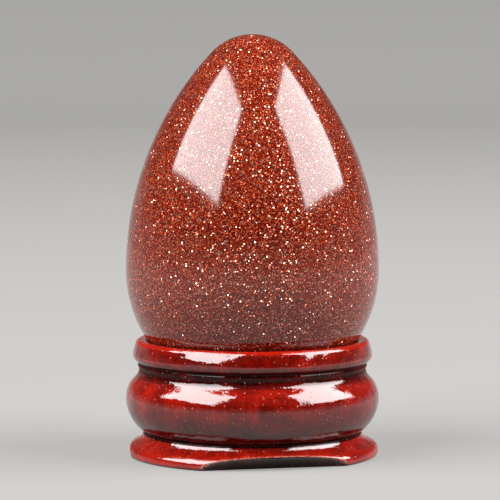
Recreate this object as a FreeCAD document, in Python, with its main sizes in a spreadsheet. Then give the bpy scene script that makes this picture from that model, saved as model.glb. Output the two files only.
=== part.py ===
import FreeCAD, Part
import math
import os

import Sketcher

# A polished glass egg that stands point up in a turned wooden stand.
# Lengths are millimetres. The floor is z = 0, +Z is up, the shared axis is x = y = 0 and the front is -Y.

# Driving dimensions: alias in the sheet, value, what it is
SIZES = {
    # Egg: a half ball below its widest line, a long taper and a small round tip above it
    "egg_diameter": (35.0, "egg, across its widest line"),
    "egg_length": (50.0, "egg, from blunt end to tip"),
    "egg_tip_radius": (7.6, "radius of the egg's tip"),
    # How the egg sits
    "egg_sink": (8.0, "depth of the egg's blunt end below the top of the lip"),
    "seat_clearance": (0.15, "gap between the egg and its dished seat"),
    # Stand, outline from the lip down to the floor: sideways sizes
    "lip_width": (1.25, "flat top of the lip, from the seat's edge outward"),
    "lip_flare": (0.525, "how far the lip's side leans out on its way down"),
    "lip_nose_inset": (0.65, "how far the lip's rounded lower edge turns back in"),
    "lip_shelf": (0.25, "width of the shelf under the lip"),
    "bead_proud": (0.2, "how far the bead stands out of the neck"),
    "cove_flare": (0.375, "how far the hollow under the bead sweeps out"),
    "shoulder_flare": (0.525, "how far the shoulder's straight slope leans out"),
    "bulge_overhang": (0.95, "how far the bulge stands out of the shoulder"),
    "bulge_undercut": (2.4, "how far the bulge falls back to the waist"),
    "waist_depth": (0.14, "depth of the cut groove at the waist"),
    "hollow_flare": (0.77, "how far the hollow on top of the flange sweeps out"),
    "hollow_depth": (0.12, "how far that hollow is cut in behind its two ends"),
    "slope_flare": (0.88, "width of the flange's straight slope"),
    "crown_flare": (0.7, "width of the rounding from that slope to the rim"),
    # Stand, outline from the lip down to the floor: heights
    "lip_side_height": (2.1, "lip, leaning side"),
    "lip_nose_height": (1.0, "lip, rounded lower edge"),
    "lip_shelf_fall": (0.1, "fall of the shelf under the lip"),
    "bead_height": (0.8, "bead"),
    "cove_height": (1.0, "hollow under the bead"),
    "shoulder_height": (0.6, "shoulder's straight slope"),
    "bulge_upper_height": (2.55, "bulge, above its widest line"),
    "bulge_lower_height": (4.55, "bulge, below its widest line"),
    "waist_height": (0.3, "groove at the waist"),
    "hollow_height": (0.885, "hollow on top of the flange"),
    "slope_height": (0.43, "flange's straight slope"),
    "crown_height": (1.125, "rounding from that slope to the rim"),
    "rim_height": (0.56, "upright rim of the flange"),
    # Stand, bore and edges
    "bore_diameter": (16.0, "bore through the middle of the stand"),
    "lip_round": (0.7, "rounding of the lip's outer top edge"),
    "seat_round": (0.25, "rounding of the lip's inner top edge, round the seat"),
    "bore_round": (0.4, "rounding where the seat meets the bore"),
    "foot_chamfer": (0.25, "chamfer round the underside"),
    # Stand, scoops that leave the feet
    "foot_count": (3, "feet, and scoops between them"),
    "scoop_reach": (3.45, "how far a scoop reaches in from the rim, at the floor"),
    "scoop_rise": (2.0, "height of a scoop's crown over the floor"),
    "scoop_radius": (3.64, "radius of the drum that cuts a scoop"),
    "scoop_overrun": (5.0, "length of the drum past each side of the stand"),
    "scoop_heading": (42.0, "turn of the first scoop from +X, in degrees"),
}

# Worked-out sizes, as expressions of the sheet
EGG_RADIUS = "(Sizes.egg_diameter / 2)"
SEAT_RADIUS = "(Sizes.egg_diameter / 2 + Sizes.seat_clearance)"
CENTRE_OVER_LIP = "(Sizes.egg_diameter / 2 - Sizes.egg_sink)"
SEAT_EDGE_RADIUS = f"sqrt({SEAT_RADIUS} ^ 2 - {CENTRE_OVER_LIP} ^ 2)"
STAND_HEIGHT = (
    "(Sizes.lip_side_height + Sizes.lip_nose_height + Sizes.lip_shelf_fall + Sizes.bead_height"
    " + Sizes.cove_height + Sizes.shoulder_height"
    " + Sizes.bulge_upper_height + Sizes.bulge_lower_height + Sizes.waist_height"
    " + Sizes.hollow_height + Sizes.slope_height + Sizes.crown_height + Sizes.rim_height)"
)
NECK_RADIUS = (
    f"({SEAT_EDGE_RADIUS} + Sizes.lip_width + Sizes.lip_flare"
    " - Sizes.lip_nose_inset - Sizes.lip_shelf)"
)
BULGE_RADIUS = f"({NECK_RADIUS} + Sizes.cove_flare + Sizes.shoulder_flare + Sizes.bulge_overhang)"
RIM_RADIUS = (
    f"({BULGE_RADIUS} - Sizes.bulge_undercut"
    " + Sizes.hollow_flare + Sizes.slope_flare + Sizes.crown_flare)"
)
EGG_CENTRE_HEIGHT = f"({STAND_HEIGHT} + {CENTRE_OVER_LIP})"
DRUM_DROP = "(Sizes.scoop_radius - Sizes.scoop_rise)"
DRUM_DISTANCE = (
    f"({RIM_RADIUS} - Sizes.scoop_reach + sqrt(Sizes.scoop_radius ^ 2 - {DRUM_DROP} ^ 2))"
)

# How a sketch counts the points of an edge, and the two axes that come before its first edge
START_INDEX, END_INDEX, CENTRE_INDEX = 1, 2, 3
FLOOR_AXIS_INDEX, TURNING_AXIS_INDEX = -1, -2
ORIGIN = (FLOOR_AXIS_INDEX, START_INDEX)
UP = FreeCAD.Vector(0, 0, 1)
NEARBY = 1e-4


def make_sheet(doc):
    """Write the driving dimensions to a sheet, one row each, with the size's name as its alias."""
    sheet = doc.addObject("Spreadsheet::Sheet", "Sizes")
    for row, (alias, (value, meaning)) in enumerate(SIZES.items(), start=1):
        sheet.set(f"A{row}", alias)
        sheet.set(f"B{row}", str(value))
        sheet.setAlias(f"B{row}", alias)
        sheet.set(f"C{row}", meaning)
    doc.recompute()
    return sheet


def value_of(item, expression):
    """The number that an expression of the sheet gives."""
    return float(item.evalExpression(expression))


def new_sketch(body, name):
    """A sketch in the body's own upright plane: its first axis is the radius, its second the height."""
    sketch = body.newObject("Sketcher::SketchObject", name)
    plane = next(item for item in body.Origin.OriginFeatures if item.Role == "XZ_Plane")
    sketch.AttachmentSupport = [(plane, "")]
    sketch.MapMode = "FlatFace"
    return sketch


def dimension(sketch, name, kind, references, expression):
    """Add a dimension with a name of its own and tie it to an expression of the sheet."""
    number = value_of(sketch, expression)
    index = sketch.addConstraint(Sketcher.Constraint(kind, *references, number))
    sketch.renameConstraint(index, name)
    sketch.setExpression(f"Constraints.{name}", expression)


def relate(sketch, kind, *references):
    """Add a relation without a number, such as a tangency."""
    sketch.addConstraint(Sketcher.Constraint(kind, *references))


def arc_through(first, last, radius, outward):
    """The short arc between two points of an outline drawn downward, bulging outward or inward."""
    chord = last - first
    height = math.sqrt(max(radius**2 - chord.Length**2 / 4, 0))
    inside = FreeCAD.Vector(chord.y, -chord.x, 0).normalize()
    centre = first + chord / 2 + inside * (height if outward else -height)
    angles = [math.atan2(point.y - centre.y, point.x - centre.x) for point in (first, last)]
    if outward:
        angles.reverse()
    circle = Part.Circle(centre, UP, radius)
    return Part.ArcOfCircle(circle, *angles)


class Outline:
    """Draws a turned outline step by step, each step sized by the sheet and joined to the one before."""

    def __init__(self, sketch, radius, height):
        self.sketch = sketch
        self.point = FreeCAD.Vector(value_of(sketch, radius), value_of(sketch, height), 0)
        self.last = None
        self.first = None

    def target(self, sideways, outward, down):
        """The end of a step that goes sideways and down by two sizes of the sheet."""
        step = FreeCAD.Vector(0, 0, 0)
        if sideways:
            step.x = value_of(self.sketch, sideways) * (1 if outward else -1)
        if down:
            step.y = -value_of(self.sketch, down)
        return self.point + step

    def join(self, name, begin, finish, sideways, outward, down):
        """Tie a new step to the step before it and to its own sizes."""
        if self.last:
            relate(self.sketch, "Coincident", *self.last, *begin)
        else:
            self.first = begin
        if sideways:
            pair = (*begin, *finish) if outward else (*finish, *begin)
            dimension(self.sketch, f"{name}_across", "DistanceX", pair, sideways)
        else:
            relate(self.sketch, "Vertical", *begin, *finish)
        if down:
            dimension(self.sketch, f"{name}_down", "DistanceY", (*finish, *begin), down)
        else:
            relate(self.sketch, "Horizontal", *begin, *finish)
        self.last = finish

    def line(self, name, sideways=None, outward=True, down=None):
        """A straight step."""
        target = self.target(sideways, outward, down)
        index = self.sketch.addGeometry(Part.LineSegment(self.point, target))
        self.join(name, (index, START_INDEX), (index, END_INDEX), sideways, outward, down)
        self.point = target

    def arc(self, name, radius, sideways=None, outward=True, down=None, crowned=True):
        """A round step. Its radius is an expression. A crowned arc bulges out of the wood."""
        target = self.target(sideways, outward, down)
        number = value_of(self.sketch, radius)
        index = self.sketch.addGeometry(arc_through(self.point, target, number, crowned))
        ends = [(index, START_INDEX), (index, END_INDEX)]
        if crowned:
            ends.reverse()
        self.join(name, *ends, sideways, outward, down)
        dimension(self.sketch, f"{name}_radius", "Radius", (index,), radius)
        self.point = target


def radius_of_rise(across, down, rise):
    """The radius of an arc whose chord has these two sizes and whose middle rises by this much."""
    chord = f"({across} ^ 2 + {down} ^ 2)" if across else f"({down} ^ 2)"
    return f"({chord} / (8 * {rise}) + {rise} / 2)"


def radius_of_quarter(across, down):
    """The radius of an arc that is upright at one end and has a chord with these two sizes."""
    return f"(({across} ^ 2 + {down} ^ 2) / (2 * {across}))"


def revolve(body, sketch, name):
    """Turn a closed outline once round the upright axis."""
    solid = body.newObject("PartDesign::Revolution", name)
    solid.Profile = sketch
    solid.ReferenceAxis = (sketch, ["V_Axis"])
    solid.Angle = 360
    sketch.Visibility = False
    return solid


def ring_edges(shape, radius, height):
    """The names of the full round edges of a turned shape with this radius at this height."""
    found = []
    for number, edge in enumerate(shape.Edges, start=1):
        curve = edge.Curve
        if not isinstance(curve, Part.Circle):
            continue
        if abs(curve.Radius - radius) < NEARBY and abs(curve.Center.z - height) < NEARBY:
            found.append(f"Edge{number}")
    if not found:
        raise RuntimeError(f"no round edge of radius {radius:.3f} at height {height:.3f}")
    return found


def dress_edges(doc, body, kind, name, rings, size_property, expression):
    """Round or chamfer ring edges of the body's shape so far. Rings are (radius, height) pairs."""
    base = body.Tip
    edges = [edge for ring in rings for edge in ring_edges(base.Shape, *ring)]
    feature = body.newObject(kind, name)
    feature.Base = (base, edges)
    feature.setExpression(size_property, expression)
    doc.recompute()
    return feature


def make_egg(doc):
    """The egg: one outline of three tangent arcs, turned about its long axis."""
    body = doc.addObject("PartDesign::Body", "Egg")
    body.Label = "egg"
    sketch = new_sketch(body, "EggOutline")

    radius = value_of(sketch, EGG_RADIUS)
    tip_radius = value_of(sketch, "Sizes.egg_tip_radius")
    tip_height = value_of(sketch, "Sizes.egg_length") - radius
    tip_centre = tip_height - tip_radius
    side_radius = (radius**2 + tip_centre**2 - tip_radius**2) / (2 * (radius - tip_radius))
    side_centre = radius - side_radius
    lean = math.atan2(tip_centre, -side_centre)

    blunt_circle = Part.Circle(FreeCAD.Vector(0, 0, 0), UP, radius)
    side_circle = Part.Circle(FreeCAD.Vector(side_centre, 0, 0), UP, side_radius)
    tip_circle = Part.Circle(FreeCAD.Vector(0, tip_centre, 0), UP, tip_radius)
    blunt = sketch.addGeometry(Part.ArcOfCircle(blunt_circle, -math.pi / 2, 0))
    side = sketch.addGeometry(Part.ArcOfCircle(side_circle, 0, lean))
    tip = sketch.addGeometry(Part.ArcOfCircle(tip_circle, lean, math.pi / 2))
    top, bottom = FreeCAD.Vector(0, tip_height, 0), FreeCAD.Vector(0, -radius, 0)
    spine = sketch.addGeometry(Part.LineSegment(top, bottom))

    relate(sketch, "Coincident", blunt, CENTRE_INDEX, *ORIGIN)
    relate(sketch, "PointOnObject", blunt, START_INDEX, TURNING_AXIS_INDEX)
    relate(sketch, "PointOnObject", blunt, END_INDEX, FLOOR_AXIS_INDEX)
    relate(sketch, "Tangent", blunt, END_INDEX, side, START_INDEX)
    relate(sketch, "Tangent", side, END_INDEX, tip, START_INDEX)
    relate(sketch, "PointOnObject", tip, CENTRE_INDEX, TURNING_AXIS_INDEX)
    relate(sketch, "PointOnObject", tip, END_INDEX, TURNING_AXIS_INDEX)
    relate(sketch, "Coincident", tip, END_INDEX, spine, START_INDEX)
    relate(sketch, "Coincident", spine, END_INDEX, blunt, START_INDEX)
    dimension(sketch, "blunt_radius", "Radius", (blunt,), EGG_RADIUS)
    dimension(sketch, "tip_radius", "Radius", (tip,), "Sizes.egg_tip_radius")
    dimension(sketch, "length", "DistanceY", (spine, END_INDEX, spine, START_INDEX), "Sizes.egg_length")

    revolve(body, sketch, "EggSolid")
    body.setExpression("Placement.Base.z", EGG_CENTRE_HEIGHT)
    return body


def draw_stand_outline(sketch):
    """Half the stand's section: lip, bead, cove, bulge, waist, flange, underside, bore and seat."""
    pen = Outline(sketch, SEAT_EDGE_RADIUS, STAND_HEIGHT)
    pen.line("lip_top", "Sizes.lip_width")
    pen.line("lip_side", "Sizes.lip_flare", down="Sizes.lip_side_height")
    pen.arc(
        "lip_nose",
        radius_of_quarter("Sizes.lip_nose_inset", "Sizes.lip_nose_height"),
        "Sizes.lip_nose_inset",
        outward=False,
        down="Sizes.lip_nose_height",
    )
    pen.line("lip_shelf", "Sizes.lip_shelf", outward=False, down="Sizes.lip_shelf_fall")
    pen.arc(
        "bead",
        radius_of_rise(None, "Sizes.bead_height", "Sizes.bead_proud"),
        down="Sizes.bead_height",
    )
    pen.arc(
        "cove",
        radius_of_quarter("Sizes.cove_flare", "Sizes.cove_height"),
        "Sizes.cove_flare",
        down="Sizes.cove_height",
        crowned=False,
    )
    pen.line("shoulder", "Sizes.shoulder_flare", down="Sizes.shoulder_height")
    pen.arc(
        "bulge_upper",
        radius_of_quarter("Sizes.bulge_overhang", "Sizes.bulge_upper_height"),
        "Sizes.bulge_overhang",
        down="Sizes.bulge_upper_height",
    )
    pen.arc(
        "bulge_lower",
        radius_of_quarter("Sizes.bulge_undercut", "Sizes.bulge_lower_height"),
        "Sizes.bulge_undercut",
        outward=False,
        down="Sizes.bulge_lower_height",
    )
    pen.arc(
        "waist",
        radius_of_rise(None, "Sizes.waist_height", "Sizes.waist_depth"),
        down="Sizes.waist_height",
        crowned=False,
    )
    pen.arc(
        "flange_hollow",
        radius_of_rise("Sizes.hollow_flare", "Sizes.hollow_height", "Sizes.hollow_depth"),
        "Sizes.hollow_flare",
        down="Sizes.hollow_height",
        crowned=False,
    )
    pen.line("flange_slope", "Sizes.slope_flare", down="Sizes.slope_height")
    pen.arc(
        "flange_crown",
        radius_of_quarter("Sizes.crown_flare", "Sizes.crown_height"),
        "Sizes.crown_flare",
        down="Sizes.crown_height",
    )
    pen.line("rim", down="Sizes.rim_height")
    close_stand_outline(sketch, pen)


def close_stand_outline(sketch, pen):
    """The underside, the bore and the seat, which is a dish about the egg's own centre."""
    bore_radius = value_of(sketch, "Sizes.bore_diameter / 2")
    seat_radius = value_of(sketch, SEAT_RADIUS)
    centre_height = value_of(sketch, EGG_CENTRE_HEIGHT)
    seat_edge = value_of(sketch, SEAT_EDGE_RADIUS)
    lip_height = value_of(sketch, STAND_HEIGHT)
    centre = FreeCAD.Vector(0, centre_height, 0)
    dish_start = -math.acos(bore_radius / seat_radius)
    dish_end = -math.atan2(centre_height - lip_height, seat_edge)
    bore_top = centre_height + seat_radius * math.sin(dish_start)
    low_corner = FreeCAD.Vector(bore_radius, 0, 0)
    high_corner = FreeCAD.Vector(bore_radius, bore_top, 0)

    underside = sketch.addGeometry(Part.LineSegment(pen.point, low_corner))
    bore = sketch.addGeometry(Part.LineSegment(low_corner, high_corner))
    dish_circle = Part.Circle(centre, UP, seat_radius)
    dish = sketch.addGeometry(Part.ArcOfCircle(dish_circle, dish_start, dish_end))

    relate(sketch, "Coincident", *pen.last, underside, START_INDEX)
    relate(sketch, "PointOnObject", underside, START_INDEX, FLOOR_AXIS_INDEX)
    relate(sketch, "PointOnObject", underside, END_INDEX, FLOOR_AXIS_INDEX)
    relate(sketch, "Coincident", underside, END_INDEX, bore, START_INDEX)
    relate(sketch, "Vertical", bore)
    relate(sketch, "Coincident", bore, END_INDEX, dish, START_INDEX)
    relate(sketch, "Coincident", dish, END_INDEX, *pen.first)
    relate(sketch, "PointOnObject", dish, CENTRE_INDEX, TURNING_AXIS_INDEX)
    dimension(sketch, "bore_radius", "DistanceX", (*ORIGIN, bore, START_INDEX), "Sizes.bore_diameter / 2")
    dimension(sketch, "seat_radius", "Radius", (dish,), SEAT_RADIUS)
    dimension(sketch, "seat_centre", "DistanceY", (*pen.first, dish, CENTRE_INDEX), CENTRE_OVER_LIP)


def cut_scoops(doc, body):
    """Concave scoops under the flange, cut by level drums, which leave the feet between them."""
    before = body.Tip.Shape.Volume
    sketch = new_sketch(body, "ScoopDrum")
    distance = value_of(sketch, DRUM_DISTANCE)
    drop = value_of(sketch, DRUM_DROP)
    radius = value_of(sketch, "Sizes.scoop_radius")
    drum = sketch.addGeometry(Part.Circle(FreeCAD.Vector(distance, -drop, 0), UP, radius))
    dimension(sketch, "drum_distance", "DistanceX", (*ORIGIN, drum, CENTRE_INDEX), DRUM_DISTANCE)
    dimension(sketch, "drum_drop", "DistanceY", (drum, CENTRE_INDEX, *ORIGIN), DRUM_DROP)
    dimension(sketch, "drum_radius", "Radius", (drum,), "Sizes.scoop_radius")

    scoop = body.newObject("PartDesign::Pocket", "Scoop")
    scoop.Profile = sketch
    scoop.Type = "Length"
    scoop.SideType = "Symmetric"
    scoop.setExpression("Length", f"2 * ({RIM_RADIUS} + Sizes.scoop_overrun)")
    sketch.Visibility = False
    doc.recompute()
    one_cut = before - scoop.Shape.Volume
    if one_cut <= 0:
        raise RuntimeError("the scoop removed nothing")

    ring = body.newObject("PartDesign::PolarPattern", "ScoopRing")
    ring.Originals = [scoop]
    ring.Axis = (sketch, ["V_Axis"])
    ring.Angle = 360
    ring.setExpression("Occurrences", "Sizes.foot_count")
    body.Tip = ring
    doc.recompute()
    all_cuts = before - ring.Shape.Volume
    if all_cuts <= one_cut:
        raise RuntimeError("the ring of scoops removed no more than one scoop")


def make_stand(doc):
    """The stand: a turned ring with softened edges, scooped underneath to stand on its feet."""
    body = doc.addObject("PartDesign::Body", "Stand")
    body.Label = "stand"
    sketch = new_sketch(body, "StandOutline")
    draw_stand_outline(sketch)
    revolve(body, sketch, "Turning")
    doc.recompute()

    lip_height = value_of(body, STAND_HEIGHT)
    seat_edge = value_of(body, SEAT_EDGE_RADIUS)
    lip_edge = value_of(body, f"{SEAT_EDGE_RADIUS} + Sizes.lip_width")
    bore_radius = value_of(body, "Sizes.bore_diameter / 2")
    bore_top = value_of(
        body, f"{EGG_CENTRE_HEIGHT} - sqrt({SEAT_RADIUS} ^ 2 - (Sizes.bore_diameter / 2) ^ 2)"
    )
    rim_radius = value_of(body, RIM_RADIUS)
    lip_ring, seat_ring = (lip_edge, lip_height), (seat_edge, lip_height)
    bore_ring = (bore_radius, bore_top)
    foot_rings = [(rim_radius, 0), (bore_radius, 0)]
    fillet, chamfer = "PartDesign::Fillet", "PartDesign::Chamfer"
    dress_edges(doc, body, fillet, "LipRound", [lip_ring], "Radius", "Sizes.lip_round")
    dress_edges(doc, body, fillet, "SeatRound", [seat_ring], "Radius", "Sizes.seat_round")
    dress_edges(doc, body, fillet, "BoreRound", [bore_ring], "Radius", "Sizes.bore_round")
    dress_edges(doc, body, chamfer, "FootChamfer", foot_rings, "Size", "Sizes.foot_chamfer")
    cut_scoops(doc, body)

    turn = FreeCAD.Rotation(UP, value_of(body, "Sizes.scoop_heading"))
    body.Placement = FreeCAD.Placement(FreeCAD.Vector(0, 0, 0), turn)
    body.setExpression("Placement.Rotation.Angle", "Sizes.scoop_heading")
    return body


def check(doc, pieces):
    """Stop if an object failed to rebuild or a piece isn't one sound solid."""
    for item in doc.Objects:
        if "Invalid" in item.State or "Error" in item.State:
            raise RuntimeError(f"{item.Name} failed: {item.State}")
    for piece in pieces:
        shape = piece.Shape
        if shape.isNull() or not shape.isValid() or len(shape.Solids) != 1:
            raise RuntimeError(f"{piece.Label} isn't one sound solid")
    for sketch in doc.findObjects("Sketcher::SketchObject"):
        if sketch.solve() != 0 or not sketch.FullyConstrained:
            raise RuntimeError(f"{sketch.Name} isn't fully sized")


def main():
    """Build both pieces, check them and write one file for each."""
    doc = FreeCAD.newDocument("EggOnStand")
    make_sheet(doc)
    pieces = [make_stand(doc), make_egg(doc)]
    doc.recompute()
    check(doc, pieces)
    os.makedirs("parts", exist_ok=True)
    for piece in pieces:
        piece.Shape.exportStep(f"parts/{piece.Label}.step")
        box = piece.Shape.optimalBoundingBox(False)
        print(
            f"{piece.Label}: volume {piece.Shape.Volume:.1f}, x {box.XMin:.3f} to {box.XMax:.3f},"
            f" y {box.YMin:.3f} to {box.YMax:.3f}, z {box.ZMin:.3f} to {box.ZMax:.3f}"
        )
    gap = pieces[0].Shape.distToShape(pieces[1].Shape)[0]
    print(f"gap between the egg and its seat: {gap:.3f}")


main()
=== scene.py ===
import math
import random

import bpy
import numpy as np
from bpy.props import FloatProperty, FloatVectorProperty, IntProperty, PointerProperty
from mathutils import Matrix, Vector, noise


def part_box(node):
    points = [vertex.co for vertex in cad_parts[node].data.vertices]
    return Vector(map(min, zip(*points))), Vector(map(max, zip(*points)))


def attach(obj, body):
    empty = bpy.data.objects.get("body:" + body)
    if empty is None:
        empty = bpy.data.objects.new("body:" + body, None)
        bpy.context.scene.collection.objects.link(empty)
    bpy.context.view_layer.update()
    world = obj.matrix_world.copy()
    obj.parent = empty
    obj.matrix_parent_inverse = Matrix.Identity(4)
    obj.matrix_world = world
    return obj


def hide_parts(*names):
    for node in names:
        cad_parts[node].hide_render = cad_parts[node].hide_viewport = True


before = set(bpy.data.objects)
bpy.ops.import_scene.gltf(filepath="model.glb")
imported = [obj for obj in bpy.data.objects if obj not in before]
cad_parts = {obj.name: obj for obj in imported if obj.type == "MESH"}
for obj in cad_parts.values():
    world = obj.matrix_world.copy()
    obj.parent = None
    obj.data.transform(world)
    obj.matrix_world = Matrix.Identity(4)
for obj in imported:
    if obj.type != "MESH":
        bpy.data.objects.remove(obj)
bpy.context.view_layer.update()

bl_info = {
    "name": "Sparkling Glass Egg on a Lacquered Stand",
    "version": (1, 0, 0),
    "blender": (4, 5, 0),
    "location": "3D View > Sidebar > Egg on Stand",
    "description": "Makes the polished egg, its turned stand and the studio around the packed part",
    "category": "Object",
}

EGG_LOW, EGG_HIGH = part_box("egg")
STAND_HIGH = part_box("stand")[1]

MM = 0.001
QUARTER_TURN = math.pi / 2.0
HALF_TURN = math.pi
FULL_TURN = 2.0 * math.pi
NEAR_ZERO = 1e-9
WHITE = (1.0, 1.0, 1.0, 1.0)

# Steps and rows of the fine outlines that the meshes' own rows are taken from
EGG_STEPS = 2000
OUTLINE_STEP = 0.02 * MM
FLANGE_STEP = 0.01 * MM
FLANGE_ROWS = 700
# How many spreads of the softening are kept to each side of a point
SPREADS_KEPT = 3.0

# Each stretch of the stand's outline: its rows, and how deep the coat pools at its start and its end.
# The depth also paints light and shade into the coat's colour: lighter on the lip's edge and the
# flange's top, darker under the lip and the bulge, in the hollows and in the scoops.
STRETCHES = {
    "lip_top": (4, 0.1, 0.0),
    "lip_edge": (14, 0.0, 0.1),
    "lip_side": (12, 0.45, 0.55),
    "nose": (10, 0.4, 0.75),
    "shelf": (3, 0.85, 0.95),
    "bead": (9, 0.95, 0.9),
    "cove": (10, 1.0, 0.6),
    "shoulder": (5, 0.4, 0.25),
    "bulge": (18, 0.25, 0.5),
    "belly": (28, 0.5, 0.85),
    "waist": (8, 1.0, 1.0),
    "crown": (32, 0.35, 0.15),
    "bite": (18, 0.75, 0.95),
    "floor": (12, 0.6, 0.6),
    "bore_edge": (4, 0.6, 0.6),
    "bore": (12, 0.7, 0.7),
    "dish": (18, 0.6, 0.3),
    "seat_edge": (6, 0.3, 0.1),
}

# How uneven the lip's wear is, and how quickly that changes around the lip
WEAR_UNEVENNESS = 0.3
WEAR_CHANGES = 12.0
# Share of the wear by which the side of the lip bows out there
WEAR_BOW = 0.4

# Sizes of the swells and ripples in the coat, and a shift that keeps their patterns apart
SWELL_SIZE = 3.4 * MM
RIPPLE_SIZE = 1.1 * MM
RIPPLE_SHIFT = Vector((7.0, 3.0, 5.0))
# The middle level of the coat lies this many swells' height inside the outline
SWELLS_INSIDE = 1.6
# The swells, ripples and sags fade out from this height down to the floor
FADE_HEIGHT = 0.5 * MM

# Ranges that each sag is drawn from: three in millimetres, and a share of the full height
SAG_RISE = (-1.4, 1.4)
SAG_OUT = (-0.2, 0.6)
SAG_REACH = (0.35, 1.3)
SAG_SHARE = (0.3, 1.0)

# The range that most of a cloud pattern lies in, and the one in which the painted highlight along the
# scoops' edges breaks up into beads
CLOUD_RANGE = (0.3, 0.7)
BREAK_RANGE = (0.4, 0.52)
# Where the edge of a speck of dust fades, which draws give one, and how strong the strongest is
SPECK_EDGE = (0.10, 0.24)
SPECK_CHANCE = (0.4, 1.0)
SPECK_STRENGTH = 0.55
# The top coat loses its gloss between these depths of pooling
GLOSS_LOSS = (0.7, 0.95)
# The streaks' pattern is drawn out along the height
STREAK_STRETCH = (1.0, 1.0, 0.12)

# Where the four colours of the fine flakes stand among their random draws
FLAKE_STOPS = (0.0, 0.6, 0.9, 1.0)
# The middle of three random draws from 0 to 1
DRAW_MIDDLE = (0.5, 0.5, 0.5)

# The card's faint clouds and its matt finish
CARD_CLOUD_SIZE = 0.05
CARD_CLOUD_STRENGTH = 0.02
CARD_ROUGHNESS = 0.9
CARD_SPECULAR = 0.1
# The card's mesh: radii of the rings on the flat, steps of the sweep, and columns around
CARD_RINGS = (0.2, 0.6)
CARD_STEP = 0.03
CARD_COLUMNS = 128

# The camera's sensor in millimetres, and the nearest distance that it shows
SENSOR_WIDTH = 36.0
NEAREST_SEEN = 0.01

# Each softbox: the middle of its face, the way it faces, the way its width runs, and its size
SOFTBOXES = {
    "left_softbox": {
        "middle": (-0.534, -0.216, 0.691),
        "facing": (0.795, 0.543, -0.271),
        "across": (0.54, -0.836, -0.092),
        "width": 0.835,
        "height": 0.708,
    },
    "right_softbox": {
        "middle": (0.661, -0.068, 0.611),
        "facing": (-0.874, 0.331, -0.356),
        "across": (-0.349, -0.937, -0.016),
        "width": 0.800,
        "height": 0.665,
    },
}


def length(name, default, description, low=0.0):
    """A length in metres, shown in the units of the scene."""
    return FloatProperty(
        name=name, description=description, default=default, min=low, unit="LENGTH", precision=5
    )


def angle(name, degrees, description):
    """An angle that is written here in degrees."""
    return FloatProperty(
        name=name, description=description, default=math.radians(degrees), subtype="ANGLE"
    )


def figure(name, default, description, low=0.0, high=1.0):
    """A plain number between two limits."""
    return FloatProperty(name=name, description=description, default=default, min=low, max=high)


def number(name, default, description, low=0):
    """A whole number."""
    return IntProperty(name=name, description=description, default=default, min=low)


def tint(name, default, description):
    """A colour, in linear light."""
    return FloatVectorProperty(
        name=name, description=description, default=default, size=3, min=0.0, max=1.0, subtype="COLOR"
    )


class EggShape(bpy.types.PropertyGroup):
    """Sizes of the polished egg."""

    diameter: length("Diameter", EGG_HIGH.x - EGG_LOW.x, "Width of the egg at its widest")
    height: length("Height", EGG_HIGH.z - EGG_LOW.z, "Height from the blunt end to the point")
    tip_radius: length("Point radius", 7.6 * MM, "Radius of the rounded point")
    rings: number("Rings", 180, "Rings of the mesh from end to end", low=12)
    columns: number("Columns", 260, "Columns of the mesh around the egg", low=12)


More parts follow.
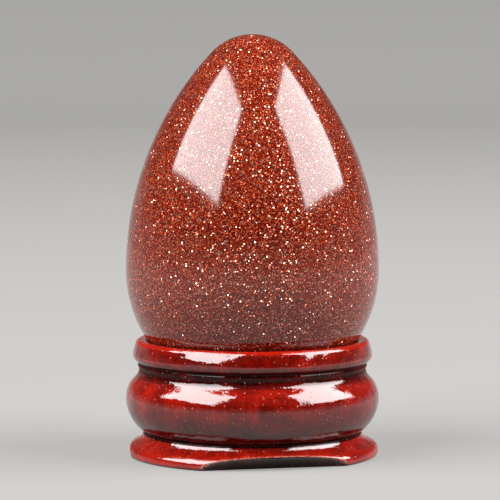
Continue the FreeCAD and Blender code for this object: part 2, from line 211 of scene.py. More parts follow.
class StandShape(bpy.types.PropertyGroup):
    """Sizes of the turned stand. Radii are from its axis, heights from the floor."""

    dish_gap: length("Dish gap", 0.15 * MM, "Room between the egg and the dish that it sits in")
    lip_radius: length("Lip radius", 16.125 * MM, "Radius of the lip at its top, before rounding")
    lip_round: length("Lip round", 0.7 * MM, "Rounding of the lip's outer edge")
    wear_depth: length("Wear depth", 0.36 * MM, "How far the lip's top edge is rubbed back")
    wear_heading: angle("Wear heading", -109.0, "Heading of the rubbed stretch of the lip")
    wear_spread: angle("Wear spread", 17.0, "How far the rubbed stretch runs to each side")
    lip_bow: length("Lip bow", 0.02 * MM, "How far the side of the lip swells")
    seat_round: length("Seat round", 0.25 * MM, "Rounding of the lip's inner edge")
    nose_radius: length("Nose radius", 16.65 * MM, "Radius of the lip where it is widest")
    nose_height: length("Nose height", 13.9 * MM, "Height at which the lip is widest")
    shelf_radius: length("Shelf radius", 16.0 * MM, "Radius where the lip turns under")
    shelf_height: length("Shelf height", 12.9 * MM, "Height where the lip turns under")
    neck_radius: length("Neck radius", 15.75 * MM, "Radius of the neck under the lip")
    bead_top: length("Bead top", 12.8 * MM, "Height of the top of the neck bead")
    bead_foot: length("Bead foot", 12.0 * MM, "Height of the foot of the neck bead")
    bead_proud: length("Bead proud", 0.2 * MM, "How far the neck bead stands out")
    cove_radius: length("Cove radius", 16.125 * MM, "Radius at the foot of the bead's cove")
    cove_foot: length("Cove foot", 11.0 * MM, "Height of the foot of the bead's cove")
    shoulder_radius: length("Shoulder radius", 16.65 * MM, "Radius at the foot of the shoulder")
    shoulder_foot: length("Shoulder foot", 10.4 * MM, "Height of the foot of the shoulder")
    bulge_height: length("Bulge height", 7.85 * MM, "Height at which the bulge is widest")
    waist_radius: length("Waist radius", 15.2 * MM, "Radius at the waist groove")
    waist_top: length("Waist top", 3.3 * MM, "Height of the top of the waist groove")
    waist_foot: length("Waist foot", 3.0 * MM, "Height of the foot of the waist groove")
    waist_hollow: length("Waist hollow", 0.14 * MM, "Depth of the waist groove")
    hollow_radius: length("Hollow radius", 15.97 * MM, "Radius at the foot of the flange's hollow")
    hollow_foot: length("Hollow foot", 2.115 * MM, "Height of the foot of the flange's hollow")
    hollow_depth: length("Hollow depth", 0.12 * MM, "How far the top of the flange is hollowed")
    slope_radius: length("Slope radius", 16.85 * MM, "Radius at the foot of the flange's slope")
    slope_foot: length("Slope foot", 1.685 * MM, "Height of the foot of the flange's slope")
    rim_radius: length("Rim radius", 17.55 * MM, "Radius of the foot flange")
    rim_height: length("Rim height", 0.56 * MM, "Height of the upright rim of the flange")
    foot_chamfer: length("Foot chamfer", 0.25 * MM, "Chamfer around the underside of the foot")
    bore_radius: length("Bore radius", 8.0 * MM, "Radius of the bore through the stand")
    scoop_count: number("Scoops", 3, "Scoops around the foot", low=1)
    scoop_heading: angle("Scoop heading", 42.0, "Heading of the first scoop")
    drum_distance: length("Drum distance", 17.35 * MM, "Drum's axis from the stand's axis")
    drum_drop: length("Drum drop", 1.64 * MM, "How far the drum's axis lies under the floor")
    drum_radius: length("Drum radius", 3.64 * MM, "Radius of the drum that cuts the scoops")
    # Reach of the painted highlight beside a scoop's edge
    highlight_reach: length("Rub reach", 0.27 * MM, "How far the coat is rubbed beside a scoop's edge")
    edge_softness: length("Edge softness", 0.12 * MM, "How far the lacquer rounds every edge")
    columns: number("Columns", 400, "Columns of the mesh around the stand", low=24)


class LacquerCoat(bpy.types.PropertyGroup):
    """The thick red lacquer on the stand."""

    # From thin through full to pooled, the coat's colour also carries painted light and shade: the
    # pooled colour stands for shade under the lip and the bulge and in hollows.
    bright: tint("Thin coat", (0.39, 0.0085, 0.0014), "Colour where the coat is thin")
    full: tint("Full coat", (0.15, 0.0026, 0.0006), "Colour of the full coat")
    pooled_and_shaded: tint("Pooled coat", (0.018, 0.0008, 0.0006), "Colour where the coat pools in hollows")
    cloud_size: length("Cloud size", 2.6 * MM, "Size of the broad clouds in the colour")
    cloud_strength: figure("Cloud strength", 0.20, "How far the clouds change the coat's depth")
    streak_size: length("Streak size", 0.42 * MM, "Width of the upright streaks in the colour")
    streak_strength: figure("Streak strength", 0.10, "How far the streaks change the coat's depth")
    mottle_size: length("Mottle size", 0.3 * MM, "Size of the fine mottle in the colour")
    mottle_strength: figure("Mottle strength", 0.18, "How far the mottle changes the coat's depth")
    # Painted highlight: a pale colour laid in beads along the scoops' edges, and the size of its breaks
    painted_highlight: tint("Rubbed coat", (0.90, 0.34, 0.26), "Colour of the coat where an edge is rubbed")
    highlight_grain: length("Rubbed grain", 0.28 * MM, "Size of the breaks in the rubbed coat")
    dust: tint("Dust", (0.75, 0.30, 0.24), "Colour of the dust under the top coat")
    dust_spacing: length("Dust spacing", 0.5 * MM, "Usual distance between specks of dust")
    gloss_index: figure(
        "Gloss index", 1.72, "Refractive index of the clear top coat", low=1.0, high=3.0
    )
    top_roughness: figure("Top roughness", 0.03, "Roughness of the clear top coat")
    pooled_gloss: figure("Pooled gloss", 0.15, "How much of the gloss is left where the coat pools")
    under_roughness: figure("Under roughness", 0.5, "Roughness of the red coat under the clear one")
    peel_size: length("Peel size", 0.35 * MM, "Size of the fine unevenness in the top coat")
    peel_share: figure("Peel share", 0.8, "Height of the fine unevenness, as a share of the relief")
    relief: length("Relief", 0.022 * MM, "How far the specks of dust lift the top coat")
    swell: length("Swell", 0.03 * MM, "Height of the slow swells in the coat")
    ripple: length("Ripple", 0.026 * MM, "Height of the small ripples in the coat")
    sag: length("Sag", 0.08 * MM, "Height of the drips and sags in the coat")
    sag_count: number("Sags", 60, "Drips and sags on the stand")
    seed: number("Seed", 11, "Start of the random draws for the sags")


class SparkleGlass(bpy.types.PropertyGroup):
    """The red-brown glass full of copper flakes."""

    deep: tint("Deep glass", (0.045, 0.0014, 0.0002), "Colour of the glass between the flakes")
    body: tint("Body", (0.130, 0.0045, 0.0006), "Colour of the bulk of fine flakes")
    flake: tint("Flake", (0.36, 0.029, 0.007), "Colour of the brighter fine flakes")
    fleck: tint("Fleck", (1.0, 0.22, 0.08), "Colour of the brightest fine flakes")
    dull_spark: tint("Dull spark", (0.48, 0.085, 0.03), "Colour of the duller large flakes")
    spark: tint("Spark", (0.72, 0.48, 0.38), "Colour of the largest flakes")
    dull_share: figure("Dull share", 0.35, "Share of the large flakes that are plainly dull")
    flake_size: length("Flake size", 0.105 * MM, "Usual size of a fine flake")
    spark_spacing: length("Spark spacing", 0.28 * MM, "Usual distance between the large flakes")
    spark_size: length("Spark size", 0.135 * MM, "Radius of the largest flakes")
    spark_least: figure("Least spark", 0.5, "Smallest large flake, as a share of the largest")
    spark_core: figure("Spark core", 0.6, "Share of a large flake's radius inside its soft edge")
    spark_tilt: figure("Spark tilt", 2.1, "How unevenly the large flakes lie", high=3.0)
    gloss_index: figure(
        "Gloss index", 1.60, "Refractive index of the polished face", low=1.0, high=3.0
    )
    roughness: figure("Polish roughness", 0.10, "Roughness of the polished face")
    flake_roughness: figure("Flake roughness", 0.25, "Roughness of the flakes under the face")


class Studio(bpy.types.PropertyGroup):
    """Floor, backdrop, lamps and camera."""

    lamp_level: figure("Lamp level", 10.0, "Brightness of the face of each softbox", high=100.0)
    world_level: figure("World level", 0.06, "Brightness of the plain light from all around")
    card_colour: tint("Card colour", (0.14, 0.138, 0.134), "Colour of the card as it lights the part")
    card_glow: figure("Card glow", 0.32, "Paleness added where the card is seen or reflected")
    glow_colour: tint("Glow colour", (1.0, 0.985, 0.96), "Colour of the card's added paleness")
    card_fade: length("Card fade", 0.4, "Height at which the added paleness has faded out")
    card_reach: length("Card reach", 1.25, "Distance at which the floor starts to sweep up")
    card_sweep: length("Card sweep", 0.45, "Radius of the sweep from the floor to the backdrop")
    card_height: length("Card height", 0.8, "Height of the backdrop")
    camera_distance: length("Camera distance", 0.370, "How far the camera stands in front")
    camera_height: length("Camera height", 0.0597, "Camera's height over the floor")
    camera_shift: length("Camera sideways", -0.33 * MM, "Camera's place to the side", low=-1.0)
    camera_pitch: angle("Camera pitch", 4.86, "How far the camera looks down")
    camera_lens: figure(
        "Lens", 193.4, "Focal length in millimetres for a sensor 36 mm wide", low=1.0, high=1000.0
    )


def arc(centre, radius, start, end, step):
    """Points of an arc in the plane of radius and height, from one angle to another."""
    count = max(2, int(abs(end - start) * radius / step))
    angles = np.linspace(start, end, count)
    across = centre[0] + radius * np.cos(angles)
    height = centre[1] + radius * np.sin(angles)
    return np.column_stack([across, height])


def upright_arc(upright, edge, step):
    """An arc that stands upright at its first point and runs to an edge above or below it."""
    across = edge[0] - upright[0]
    rise = edge[1] - upright[1]
    radius = (across ** 2 + rise ** 2) / (2.0 * abs(across))
    side = math.copysign(1.0, across)
    sweep = math.copysign(math.asin(abs(rise) / radius), rise)
    start = HALF_TURN if across > 0.0 else 0.0
    return arc((upright[0] + side * radius, upright[1]), radius, start, start - side * sweep, step)


def corner_arc(corner, before, after, radius, step):
    """The rounding of a corner of an outline, between the directions in which it comes and goes."""
    before = np.array(before) / math.hypot(*before)
    after = np.array(after) / math.hypot(*after)
    turn = math.acos(float(np.clip(before @ after, -1.0, 1.0)))
    reach = radius * math.tan(turn / 2.0)
    start = np.array(corner) - before * reach
    end = np.array(corner) + after * reach
    return bowed(start, end, radius * (1.0 - math.cos(turn / 2.0)), step)


def bowed(start, end, bow, step):
    """An arc between two points that stands out to their left, or in where bow is negative."""
    start = np.array(start)
    end = np.array(end)
    run = end - start
    span = float(np.hypot(*run))
    left = np.array([-run[1], run[0]]) / span
    radius = (span ** 2 / 4.0 + bow ** 2) / (2.0 * abs(bow))
    side = math.copysign(1.0, bow)
    centre = (start + end) / 2.0 + left * side * (abs(bow) - radius)
    first = math.atan2(start[1] - centre[1], start[0] - centre[0])
    last = math.atan2(end[1] - centre[1], end[0] - centre[0])
    while last - first > HALF_TURN:
        last -= FULL_TURN
    while last - first < -HALF_TURN:
        last += FULL_TURN
    return arc(centre, radius, first, last, step)


def straight(start, end, step):
    """Points of a straight run."""
    count = max(2, int(math.dist(start, end) / step))
    return np.linspace(start, end, count)


def along(line):
    """Distance of each point of a line from its start."""
    steps = np.hypot(np.diff(line[:, 0]), np.diff(line[:, 1]))
    return np.concatenate([[0.0], np.cumsum(steps)])


def at(line, places):
    """Points of a line at given distances from its start."""
    run = along(line)
    across = np.interp(places, run, line[:, 0])
    height = np.interp(places, run, line[:, 1])
    return np.column_stack([across, height])


def softened(line, softness, step):
    """A closed line with its corners rounded, at even steps."""
    run = along(line)
    count = int(run[-1] / step)
    even = at(line, np.linspace(0.0, run[-1], count, endpoint=False))
    reach = int(SPREADS_KEPT * softness / step) + 1
    weights = np.exp(-0.5 * (np.arange(-reach, reach + 1) * step / softness) ** 2)
    weights /= weights.sum()
    rounded = np.zeros_like(even)
    for offset, weight in zip(range(-reach, reach + 1), weights):
        rounded += weight * np.roll(even, -offset, axis=0)
    return np.vstack([rounded, rounded[:1]])


def ease(value):
    """A smooth step from 0 to 1."""
    return value * value * (3.0 - 2.0 * value)


def make_mesh(name, points, faces):
    """A smooth mesh object from points and faces."""
    mesh = bpy.data.meshes.new(name)
    mesh.from_pydata(points, [], faces)
    mesh.update()
    mesh.shade_smooth()
    piece = bpy.data.objects.new(name, mesh)
    bpy.context.scene.collection.objects.link(piece)
    return piece


# The egg

def egg_side(shape):
    """Radius and height of the egg's outline from its blunt end to its point."""
    waist = shape.diameter / 2.0
    tip = shape.tip_radius
    tip_rise = shape.height - waist - tip
    bend = (waist ** 2 + tip_rise ** 2 - tip ** 2) / (2.0 * (waist - tip))
    lean = math.atan2(tip_rise, bend - waist)
    step = shape.height / EGG_STEPS
    blunt = arc((0.0, waist), waist, -QUARTER_TURN, 0.0, step)
    flank = arc((waist - bend, waist), bend, 0.0, lean, step)
    point = arc((0.0, waist + tip_rise), tip, lean, QUARTER_TURN, step)
    return np.vstack([blunt, flank[1:], point[1:]])


def lathe(name, outline, columns):
    """A form turned from an outline that starts on the axis, and ends on it or at an open edge."""
    turns = np.linspace(0.0, FULL_TURN, columns, endpoint=False)
    closed = outline[-1][0] == 0.0
    rings = outline[1:-1] if closed else outline[1:]
    points = [(0.0, 0.0, outline[0][1])]
    for radius, height in rings:
        points.extend(zip(radius * np.cos(turns), radius * np.sin(turns), [height] * columns))
    top = 1 + (len(rings) - 1) * columns
    faces = []
    for column in range(columns):
        beside = (column + 1) % columns
        faces.append((0, 1 + beside, 1 + column))
        for ring in range(len(rings) - 1):
            low = 1 + ring * columns
            high = low + columns
            faces.append((low + column, low + beside, high + beside, high + column))
        if closed:
            faces.append((top + column, top + beside, len(points)))
    if closed:
        points.append((0.0, 0.0, outline[-1][1]))
    return make_mesh(name, points, faces)


# The stand

def scoop_turn(shape, turn):
    """Angle from a heading to the middle of the nearest scoop."""
    pitch = FULL_TURN / shape.scoop_count
    return (turn - shape.scoop_heading + pitch / 2.0) % pitch - pitch / 2.0


def flange_side(shape, turn):
    """The flange's outline from the waist to the floor, and the row at which a scoop's bite starts."""
    waist = (shape.waist_radius, shape.waist_foot)
    hollow = (shape.hollow_radius, shape.hollow_foot)
    slope = (shape.slope_radius, shape.slope_foot)
    rim = (shape.rim_radius, shape.rim_height)
    heights = np.linspace(shape.waist_foot, 0.0, FLANGE_ROWS)
    turned = np.vstack([
        [(shape.rim_radius, 0.0)],
        upright_arc(rim, slope, FLANGE_STEP),
        straight(slope, hollow, FLANGE_STEP)[1:],
        bowed(hollow, waist, shape.hollow_depth, FLANGE_STEP)[1:],
    ])
    whole = np.interp(heights, turned[:, 1], turned[:, 0])
    chamfer = shape.rim_radius - shape.foot_chamfer + heights
    inside = shape.drum_radius ** 2 - (heights + shape.drum_drop) ** 2
    half_chord = np.sqrt(np.maximum(inside, 0.0))
    bite = (shape.drum_distance - half_chord) / math.cos(scoop_turn(shape, turn))
    uncut = 2.0 * shape.rim_radius
    bite = np.where(inside > 0.0, bite, uncut)
    cut = np.minimum(chamfer, bite)
    first = int(np.argmax(cut < whole - NEAR_ZERO))
    return np.column_stack([np.minimum(whole, cut), heights]), first


def lip_wear(shape, turn):
    """How far the lip's top edge is rubbed back at a heading, in full over half of the spread."""
    away = abs((turn - shape.wear_heading + HALF_TURN) % FULL_TURN - HALF_TURN)
    inside = min(1.0, 2.0 * max(0.0, 1.0 - away / shape.wear_spread))
    uneven = 1.0 + WEAR_UNEVENNESS * noise.noise(Vector((WEAR_CHANGES * turn, 0.0, 0.0)))
    return shape.wear_depth * uneven * ease(inside)


def stand_lines(shape, dish_radius, dish_centre, wear):
    """The stand's outline apart from the flange: down from the seat's edge, and up the inside."""
    step = OUTLINE_STEP
    top = STAND_HIGH.z
    bore = shape.bore_radius
    chamfer = shape.foot_chamfer
    seat = (math.sqrt(dish_radius ** 2 - (dish_centre - top) ** 2), top)
    lip = (shape.lip_radius - wear, top)
    nose = (shape.nose_radius, shape.nose_height)
    shelf = (shape.shelf_radius, shape.shelf_height)
    bead_top = (shape.neck_radius, shape.bead_top)
    bead_foot = (shape.neck_radius, shape.bead_foot)
    cove = (shape.cove_radius, shape.cove_foot)
    shoulder = (shape.shoulder_radius, shape.shoulder_foot)
    bulge = (STAND_HIGH.x, shape.bulge_height)
    waist_top = (shape.waist_radius, shape.waist_top)
    waist_foot = (shape.waist_radius, shape.waist_foot)
    dish_slope = (dish_centre - top, seat[0])
    lip_edge = corner_arc(lip, (1.0, 0.0), np.subtract(nose, lip), shape.lip_round, step)
    seat_edge = corner_arc(seat, dish_slope, (1.0, 0.0), shape.seat_round, step)
    down = {
        "lip_top": straight(seat_edge[-1], lip_edge[0], step),
        "lip_edge": lip_edge,
        "lip_side": bowed(lip_edge[-1], nose, shape.lip_bow + WEAR_BOW * wear, step),
        "nose": upright_arc(nose, shelf, step),
        "shelf": straight(shelf, bead_top, step),
        "bead": bowed(bead_top, bead_foot, shape.bead_proud, step),
        "cove": upright_arc(bead_foot, cove, step),
        "shoulder": straight(cove, shoulder, step),
        "bulge": upright_arc(bulge, shoulder, step)[::-1],
        "belly": upright_arc(bulge, waist_top, step),
        "waist": bowed(waist_top, waist_foot, -shape.waist_hollow, step),
    }
    dish_foot = dish_centre - math.sqrt(dish_radius ** 2 - bore ** 2)
    dish_start = math.atan2(dish_foot - dish_centre, bore)
    dish_end = math.atan2(seat_edge[0][1] - dish_centre, seat_edge[0][0])
    up = {
        "bore_edge": straight((bore + chamfer, 0.0), (bore, chamfer), step),
        "bore": straight((bore, chamfer), (bore, dish_foot), step),
        "dish": arc((0.0, dish_centre), dish_radius, dish_start, dish_end, step),
        "seat_edge": seat_edge,
    }
    return down, up


def stand_column(shape, lines, turn):
    """One column of the stand: its points, the pooling of the coat with painted light and shade, and
    the painted highlight along a scoop's edge at each.
    """
    down, up = lines
    flange, bite = flange_side(shape, turn)
    stretches = dict(down)
    stretches["crown"] = flange[:bite + 1]
    stretches["bite"] = flange[bite:]
    stretches["floor"] = straight(flange[-1], up["bore_edge"][0], OUTLINE_STEP)
    stretches.update(up)
    whole = np.vstack(list(stretches.values()))
    marks = np.cumsum([0.0] + [along(stretch)[-1] for stretch in stretches.values()])
    line = softened(whole, shape.edge_softness, OUTLINE_STEP)
    scale = along(line)[-1] / marks[-1]
    places = []
    pooling_with_shade = []
    for name, start, end in zip(stretches, marks, marks[1:]):
        rows, pool_start, pool_end = STRETCHES[name]
        places.extend(np.linspace(start, end, rows, endpoint=False))
        pooling_with_shade.extend(np.linspace(pool_start, pool_end, rows, endpoint=False))
    points = at(line, np.array(places) * scale)
    points[:, 1] = np.maximum(points[:, 1], 0.0)
    points[:, 0] = np.minimum(points[:, 0], STAND_HIGH.x)
    # Painted highlight along the edge where a scoop's bite starts; it fades with distance from that
    # edge and where the cut is shallow
    bite_start = marks[list(stretches).index("bite")]
    edge_highlight_paint = np.exp(-((np.array(places) - bite_start) / shape.highlight_reach) ** 2)
    cut_depth = flange[bite, 1] - shape.foot_chamfer
    edge_highlight_paint *= min(1.0, max(0.0, cut_depth / shape.highlight_reach))
    return points, pooling_with_shade, edge_highlight_paint


def outward(ring):
    """Outward directions of a closed column in the plane of radius and height."""
    ahead = np.roll(ring, -1, axis=0) - np.roll(ring, 1, axis=0)
    size = np.maximum(np.hypot(ahead[:, 0], ahead[:, 1]), NEAR_ZERO)
    return np.column_stack([-ahead[:, 1], ahead[:, 0]]) / size[:, None]


def sags(shape, coat):
    """Centres, reaches and heights of drips and sags, drawn at random, about half on the lip."""
    draw = random.Random(coat.seed)
    levels = (shape.nose_height, shape.nose_height, shape.bulge_height, shape.rim_height)
    found = []
    for _ in range(coat.sag_count):
        turn = draw.uniform(0.0, FULL_TURN)
        height = draw.choice(levels)
        height += draw.uniform(*SAG_RISE) * MM
        radius = shape.nose_radius + draw.uniform(*SAG_OUT) * MM
        reach = draw.uniform(*SAG_REACH) * MM
        lift = draw.uniform(*SAG_SHARE) * coat.sag
        centre = Vector((radius * math.cos(turn), radius * math.sin(turn), height))
        found.append((centre, reach, lift))
    return found


def coat_depth(point, coat, drips):
    """How far the coat's face lies out from the outline at a point: 0 at most, less in hollows."""
    swell = noise.noise(point / SWELL_SIZE)
    ripple = noise.noise(point / RIPPLE_SIZE + RIPPLE_SHIFT)
    depth = -SWELLS_INSIDE * coat.swell + coat.swell * swell + coat.ripple * ripple
    for centre, reach, lift in drips:
        away = (point - centre).length / reach
        if away < 1.0:
            depth += lift * (1.0 - away * away) ** 2
    return min(depth, 0.0)


def turn_stand(shape, coat, dish_radius, dish_centre):
    """The stand's mesh, with the coat's pooling and painted light and shade, and the painted highlight
    along the scoops' edges, held at its points.
    """
    turns = np.linspace(0.0, FULL_TURN, shape.columns, endpoint=False)
    drips = sags(shape, coat)
    points = []
    pooling_with_shade = []
    edge_highlight_paint = []
    for turn in turns:
        lines = stand_lines(shape, dish_radius, dish_centre, lip_wear(shape, turn))
        ring, pooled_and_shaded, painted_highlight = stand_column(shape, lines, turn)
        pooling_with_shade.extend(pooled_and_shaded)
        edge_highlight_paint.extend(painted_highlight)
        facing = outward(ring)
        for (radius, height), (out, rise) in zip(ring, facing):
            here = Vector((radius * math.cos(turn), radius * math.sin(turn), height))
            on_floor = max(0.0, 1.0 - height / FADE_HEIGHT)
            depth = coat_depth(here, coat, drips) * (1.0 - on_floor)
            radius += out * depth
            height += rise * depth
            points.append((radius * math.cos(turn), radius * math.sin(turn), max(height, 0.0)))
    rows = len(ring)
    columns = len(turns)
    faces = []
    for column in range(columns):
        beside = (column + 1) % columns
        for row in range(rows):
            under = (row + 1) % rows
            faces.append((
                column * rows + row,
                column * rows + under,
                beside * rows + under,
                beside * rows + row,
            ))
    stand = make_mesh("lacquered_stand", points, faces)
    # Kept at each point: the coat's pooling with painted light and shade, and the painted highlight
    # along the scoops' edges.
    for name, values in (("painted_shade_pooling", pooling_with_shade), ("painted_edge_highlight", edge_highlight_paint)):
        held = stand.data.attributes.new(name, "FLOAT", "POINT")
        held.data.foreach_set("value", values)
    return stand


# Finishes

class Finish:
    """A node material under construction."""

    def __init__(self, name):
        self.material = bpy.data.materials.new(name)
        self.material.use_nodes = True
        self.tree = self.material.node_tree
        self.tree.nodes.clear()
        self.output = self.node("ShaderNodeOutputMaterial")

    def node(self, kind, **settings):
        """A node with some of its settings."""
        made = self.tree.nodes.new(kind)
        for name, value in settings.items():
            setattr(made, name, value)
        return made

    def link(self, source, target):
        """Joins an output to an input."""
        self.tree.links.new(source, target)

    def place(self):
        """The piece's own coordinates, in metres."""
        return self.node("ShaderNodeTexCoord").outputs["Object"]

    def scaled(self, vector, scale):
        """A vector with each part times a factor of its own."""
        made = self.node("ShaderNodeVectorMath", operation="MULTIPLY")
        self.link(vector, made.inputs[0])
        made.inputs[1].default_value = scale
        return made.outputs["Vector"]

    def clouds(self, vector, size, detail=2.0, roughness=0.5):
        """Soft noise with features of about a given size."""
        made = self.node("ShaderNodeTexNoise")
        self.link(vector, made.inputs["Vector"])
        made.inputs["Scale"].default_value = 1.0 / size
        made.inputs["Detail"].default_value = detail
        made.inputs["Roughness"].default_value = roughness
        return made.outputs["Fac"]

    def cells(self, vector, size):
        """Random cells of about a given size."""
        made = self.node("ShaderNodeTexVoronoi", feature="F1", distance="EUCLIDEAN")
        self.link(vector, made.inputs["Vector"])
        made.inputs["Scale"].default_value = 1.0 / size
        return made

    def ramp(self, value, stops):
        """A colour ramp through stops of position and colour."""
        made = self.node("ShaderNodeValToRGB")
        elements = made.color_ramp.elements
        while len(elements) < len(stops):
            elements.new(1.0)
        for element, (place, colour) in zip(elements, stops):
            element.position = place
            element.color = (*colour, 1.0)
        self.link(value, made.inputs["Fac"])
        return made.outputs["Color"]

    def mapped(self, value, low, high, to_low=0.0, to_high=1.0, smooth=False):
        """A number moved from one range to another, and kept inside it."""
        made = self.node("ShaderNodeMapRange", clamp=True)
        if smooth:
            made.interpolation_type = "SMOOTHSTEP"
        self.link(value, made.inputs["Value"])
        made.inputs["From Min"].default_value = low
        made.inputs["From Max"].default_value = high
        made.inputs["To Min"].default_value = to_low
        made.inputs["To Max"].default_value = to_high
        return made.outputs["Result"]

    def joined(self, first, second, operation="ADD"):
        """Two numbers joined by an operation, the second a socket or a plain number."""
        made = self.node("ShaderNodeMath", operation=operation)
        self.link(first, made.inputs[0])
        if isinstance(second, float):
            made.inputs[1].default_value = second
        else:
            self.link(second, made.inputs[1])
        return made.outputs["Value"]

    def blend(self, first, second, amount):
        """Two colours mixed by an amount, each a socket or a plain colour."""
        made = self.node("ShaderNodeMix", data_type="RGBA")
        inputs = [socket for socket in made.inputs if socket.enabled]
        self.link(amount, inputs[0])
        for socket, colour in zip(inputs[1:], (first, second)):
            if isinstance(colour, bpy.types.NodeSocket):
                self.link(colour, socket)
            else:
                socket.default_value = (*colour, 1.0)
        return [socket for socket in made.outputs if socket.enabled][0]

    def bump(self, height, distance):
        """A bump in which a height of 1 stands for a real distance."""
        made = self.node("ShaderNodeBump")
        made.inputs["Distance"].default_value = distance
        self.link(height, made.inputs["Height"])
        return made.outputs["Normal"]


def lacquer(coat):
    """Deep red lacquer: darker where it pools, with painted shade under the lip and the bulge and
    painted light on upward edges, mottled, with a painted highlight along the scoops' edges, dust and a
    clear coat.
    """
    finish = Finish("red_lacquer")
    place = finish.place()
    # The coat's pooling depth, which also holds painted shade in hollows and under the lip and the
    # bulge, and painted light on upward edges.
    pooled_and_shaded = finish.node("ShaderNodeAttribute", attribute_name="painted_shade_pooling").outputs["Fac"]
    clouds = finish.clouds(place, coat.cloud_size, detail=3.0)
    streaks = finish.clouds(finish.scaled(place, STREAK_STRETCH), coat.streak_size)
    mottle = finish.clouds(place, coat.mottle_size, detail=3.0, roughness=0.7)
    patterns = (
        (clouds, coat.cloud_strength),
        (streaks, coat.streak_strength),
        (mottle, coat.mottle_strength),
    )
    # This depth picks the colour, so it paints light and shade as well as the coat's real pooling.
    depth = pooled_and_shaded
    for pattern, strength in patterns:
        depth = finish.joined(depth, finish.mapped(pattern, *CLOUD_RANGE, -strength, strength))
    colour = finish.ramp(depth, [(0.0, coat.bright), (0.5, coat.full), (1.0, coat.pooled_and_shaded)])

    cells = finish.cells(place, coat.dust_spacing)
    chance = finish.node("ShaderNodeSeparateColor")
    finish.link(cells.outputs["Color"], chance.inputs["Color"])
    dot = finish.mapped(cells.outputs["Distance"], *SPECK_EDGE, 1.0, 0.0, smooth=True)
    dusty = finish.mapped(chance.outputs["Red"], *SPECK_CHANCE, 0.0, SPECK_STRENGTH)
    specks = finish.joined(dot, dusty, "MULTIPLY")
    colour = finish.blend(colour, coat.dust, specks)

    # Painted highlight along the scoops' edges, broken up into beads
    edge_highlight_paint = finish.node("ShaderNodeAttribute", attribute_name="painted_edge_highlight").outputs["Fac"]
    highlight_breaks = finish.mapped(finish.clouds(place, coat.highlight_grain), *BREAK_RANGE)
    colour = finish.blend(colour, coat.painted_highlight, finish.joined(edge_highlight_paint, highlight_breaks, "MULTIPLY"))

    peel = finish.joined(finish.clouds(place, coat.peel_size), coat.peel_share, "MULTIPLY")
    gloss = finish.mapped(pooled_and_shaded, *GLOSS_LOSS, 1.0, coat.pooled_gloss)
    shader = finish.node("ShaderNodeBsdfPrincipled")
    finish.link(colour, shader.inputs["Base Color"])
    shader.inputs["Roughness"].default_value = coat.under_roughness
    shader.inputs["Specular IOR Level"].default_value = 0.0
    finish.link(gloss, shader.inputs["Coat Weight"])
    shader.inputs["Coat Roughness"].default_value = coat.top_roughness
    shader.inputs["Coat IOR"].default_value = coat.gloss_index
    finish.link(finish.bump(finish.joined(specks, peel), coat.relief), shader.inputs["Coat Normal"])
    finish.link(shader.outputs["BSDF"], finish.output.inputs["Surface"])
    return finish.material


def tilted(finish, draws, tilt, amount):
    """The surface's direction, leaned by three random draws from 0 to 1 where the amount is 1."""
    centred = finish.node("ShaderNodeVectorMath", operation="SUBTRACT")
    centred.inputs[1].default_value = DRAW_MIDDLE
    finish.link(draws, centred.inputs[0])
    lean = finish.node("ShaderNodeVectorMath", operation="SCALE")
    finish.link(finish.scaled(centred.outputs["Vector"], (tilt, tilt, tilt)), lean.inputs[0])
    finish.link(amount, lean.inputs["Scale"])
    leaned = finish.node("ShaderNodeVectorMath", operation="ADD")
    finish.link(finish.node("ShaderNodeNewGeometry").outputs["Normal"], leaned.inputs[0])
    finish.link(lean.outputs["Vector"], leaned.inputs[1])
    even = finish.node("ShaderNodeVectorMath", operation="NORMALIZE")
    finish.link(leaned.outputs["Vector"], even.inputs[0])
    return even.outputs["Vector"]


def sparkling(glass):
    """Polished red-brown glass: a body of fine flakes, and large ones that catch the light."""
    finish = Finish("sparkling_glass")
    place = finish.place()
    fine = finish.cells(place, glass.flake_size)
    draws = finish.node("ShaderNodeSeparateColor")
    finish.link(fine.outputs["Color"], draws.inputs["Color"])
    flakes = (glass.deep, glass.body, glass.flake, glass.fleck)
    colour = finish.ramp(draws.outputs["Red"], list(zip(FLAKE_STOPS, flakes)))

    large = finish.cells(place, glass.spark_spacing)
    chance = finish.node("ShaderNodeTexWhiteNoise", noise_dimensions="3D")
    finish.link(large.outputs["Position"], chance.inputs["Vector"])
    grade = chance.outputs["Value"]
    size = finish.mapped(grade, 0.0, 1.0, glass.spark_least, 1.0)
    away = finish.joined(large.outputs["Distance"], size, "DIVIDE")
    reach = glass.spark_size / glass.spark_spacing
    spark = finish.mapped(away, glass.spark_core * reach, reach, 1.0, 0.0, smooth=True)
    sheen = finish.ramp(grade, [(glass.dull_share, glass.dull_spark), (1.0, glass.spark)])
    facing = tilted(finish, large.outputs["Color"], glass.spark_tilt, spark)

    shader = finish.node("ShaderNodeBsdfPrincipled")
    finish.link(finish.blend(colour, sheen, spark), shader.inputs["Base Color"])
    finish.link(spark, shader.inputs["Metallic"])
    finish.link(facing, shader.inputs["Normal"])
    shader.inputs["Roughness"].default_value = glass.flake_roughness
    shader.inputs["Specular IOR Level"].default_value = 0.0
    shader.inputs["Coat Weight"].default_value = 1.0
    shader.inputs["Coat Roughness"].default_value = glass.roughness
    shader.inputs["Coat IOR"].default_value = glass.gloss_index
    finish.link(shader.outputs["BSDF"], finish.output.inputs["Surface"])
    return finish.material


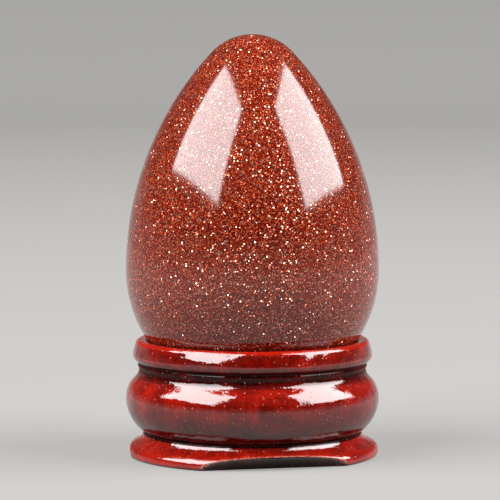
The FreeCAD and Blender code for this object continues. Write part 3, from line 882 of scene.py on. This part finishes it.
def plain_card(studio):
    """The matt pale card of the floor and backdrop, which looks paler than it lights the part."""
    finish = Finish("pale_card")
    place = finish.place()
    light = tuple((1.0 + CARD_CLOUD_STRENGTH) * part for part in studio.card_colour)
    dark = tuple((1.0 - CARD_CLOUD_STRENGTH) * part for part in studio.card_colour)
    colour = finish.blend(dark, light, finish.clouds(place, CARD_CLOUD_SIZE, detail=3.0))
    ray = finish.node("ShaderNodeLightPath")
    seen = finish.joined(ray.outputs["Is Camera Ray"], ray.outputs["Is Glossy Ray"])
    seen = finish.joined(seen, ray.outputs["Is Transmission Ray"])
    where = finish.node("ShaderNodeSeparateXYZ")
    finish.link(place, where.inputs["Vector"])
    glow = finish.mapped(
        where.outputs["Z"], 0.0, studio.card_fade, studio.card_glow, 0.0, smooth=True
    )
    shader = finish.node("ShaderNodeBsdfPrincipled")
    finish.link(colour, shader.inputs["Base Color"])
    shader.inputs["Roughness"].default_value = CARD_ROUGHNESS
    shader.inputs["Specular IOR Level"].default_value = CARD_SPECULAR
    shader.inputs["Emission Color"].default_value = (*studio.glow_colour, 1.0)
    finish.link(finish.joined(seen, glow, "MULTIPLY"), shader.inputs["Emission Strength"])
    finish.link(shader.outputs["BSDF"], finish.output.inputs["Surface"])
    return finish.material


# The studio

def hang_softbox(name, middle, facing, across, width, height, level):
    """A rectangular lamp whose face is equally bright at any size."""
    lamp = bpy.data.lights.new(name, "AREA")
    lamp.shape = "RECTANGLE"
    lamp.size = width
    lamp.size_y = height
    lamp.energy = level * math.pi * width * height
    holder = bpy.data.objects.new(name, lamp)
    back = -Vector(facing).normalized()
    side = (Vector(across) - back * Vector(across).dot(back)).normalized()
    rise = back.cross(side)
    turned = Matrix((side, rise, back)).transposed().to_4x4()
    holder.matrix_world = Matrix.Translation(middle) @ turned
    bpy.context.scene.collection.objects.link(holder)


def lay_card(studio):
    """The round floor, which sweeps up into a low backdrop on every side."""
    reach = studio.card_reach
    sweep = studio.card_sweep
    flat = [(radius, 0.0) for radius in (0.0, *CARD_RINGS)]
    bend = arc((reach, sweep), sweep, -QUARTER_TURN, 0.0, CARD_STEP)
    outline = [*flat, *bend, (reach + sweep, studio.card_height)]
    return lathe("studio_card", outline, CARD_COLUMNS)


def set_camera(studio):
    """The camera at the photograph's place and angle."""
    lens = bpy.data.cameras.new("camera")
    lens.sensor_width = SENSOR_WIDTH
    lens.lens = studio.camera_lens
    lens.clip_start = NEAREST_SEEN
    holder = bpy.data.objects.new("camera", lens)
    holder.location = (studio.camera_shift, -studio.camera_distance, studio.camera_height)
    holder.rotation_euler = (QUARTER_TURN - studio.camera_pitch, 0.0, 0.0)
    bpy.context.scene.collection.objects.link(holder)
    bpy.context.scene.camera = holder


def set_world(level):
    """Plain dim light from all around."""
    world = bpy.data.worlds.new("studio_world")
    world.use_nodes = True
    background = world.node_tree.nodes["Background"]
    background.inputs["Color"].default_value = WHITE
    background.inputs["Strength"].default_value = level
    bpy.context.scene.world = world


class OBJECT_OT_polish_egg(bpy.types.Operator):
    """Makes the polished egg of sparkling glass in place of its CAD node"""

    bl_idname = "object.polish_egg"
    bl_label = "Polish Egg"
    bl_options = {"REGISTER", "UNDO"}

    def execute(self, context):
        shape = context.scene.egg_shape
        side = egg_side(shape)
        run = along(side)[-1]
        outline = at(side, np.linspace(0.0, run, shape.rings))
        outline[[0, -1], 0] = 0.0
        outline[:, 1] += EGG_LOW.z
        egg = lathe("glass_egg", outline, shape.columns)
        egg.data.materials.append(sparkling(context.scene.sparkle_glass))
        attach(egg, "egg")
        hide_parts("egg")
        return {"FINISHED"}


class OBJECT_OT_turn_stand(bpy.types.Operator):
    """Makes the turned and lacquered stand in place of its CAD node"""

    bl_idname = "object.turn_stand"
    bl_label = "Turn Stand"
    bl_options = {"REGISTER", "UNDO"}

    def execute(self, context):
        shape = context.scene.stand_shape
        coat = context.scene.lacquer_coat
        egg_radius = context.scene.egg_shape.diameter / 2.0
        dish_centre = EGG_LOW.z + egg_radius
        stand = turn_stand(shape, coat, egg_radius + shape.dish_gap, dish_centre)
        stand.data.materials.append(lacquer(coat))
        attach(stand, "stand")
        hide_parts("stand")
        return {"FINISHED"}


class SCENE_OT_set_studio(bpy.types.Operator):
    """Lays the pale floor and backdrop, hangs the two softboxes and places the camera"""

    bl_idname = "scene.set_studio"
    bl_label = "Set Studio"
    bl_options = {"REGISTER", "UNDO"}

    def execute(self, context):
        studio = context.scene.studio
        card = lay_card(studio)
        card.data.materials.append(plain_card(studio))
        for name, softbox in SOFTBOXES.items():
            hang_softbox(name, level=studio.lamp_level, **softbox)
        set_world(studio.world_level)
        set_camera(studio)
        context.scene.view_settings.view_transform = "Standard"
        return {"FINISHED"}


class VIEW3D_PT_egg_on_stand(bpy.types.Panel):
    """The sidebar panel with the pieces, their sizes and their finishes."""

    bl_label = "Egg on Stand"
    bl_idname = "VIEW3D_PT_egg_on_stand"
    bl_space_type = "VIEW_3D"
    bl_region_type = "UI"
    bl_category = "Egg on Stand"

    def draw(self, context):
        layout = self.layout
        for operator in OPERATORS:
            layout.operator(operator.bl_idname)
        for group in SETTINGS:
            box = layout.box()
            settings = getattr(context.scene, group)
            for name in settings.bl_rna.properties.keys():
                if name not in ("rna_type", "name"):
                    box.prop(settings, name)


SETTINGS = {
    "egg_shape": EggShape,
    "stand_shape": StandShape,
    "lacquer_coat": LacquerCoat,
    "sparkle_glass": SparkleGlass,
    "studio": Studio,
}
OPERATORS = (OBJECT_OT_polish_egg, OBJECT_OT_turn_stand, SCENE_OT_set_studio)
CLASSES = (*SETTINGS.values(), *OPERATORS, VIEW3D_PT_egg_on_stand)


def register():
    """Registers the classes and hangs the settings on the scene."""
    for cls in CLASSES:
        bpy.utils.register_class(cls)
    for name, group in SETTINGS.items():
        setattr(bpy.types.Scene, name, PointerProperty(type=group))


def unregister():
    """Takes the settings and the classes away again."""
    for name in SETTINGS:
        delattr(bpy.types.Scene, name)
    for cls in reversed(CLASSES):
        bpy.utils.unregister_class(cls)


def main():
    """Makes the pieces and the studio."""
    register()
    bpy.ops.object.polish_egg()
    bpy.ops.object.turn_stand()
    bpy.ops.scene.set_studio()


if __name__ == "__main__":
    main()
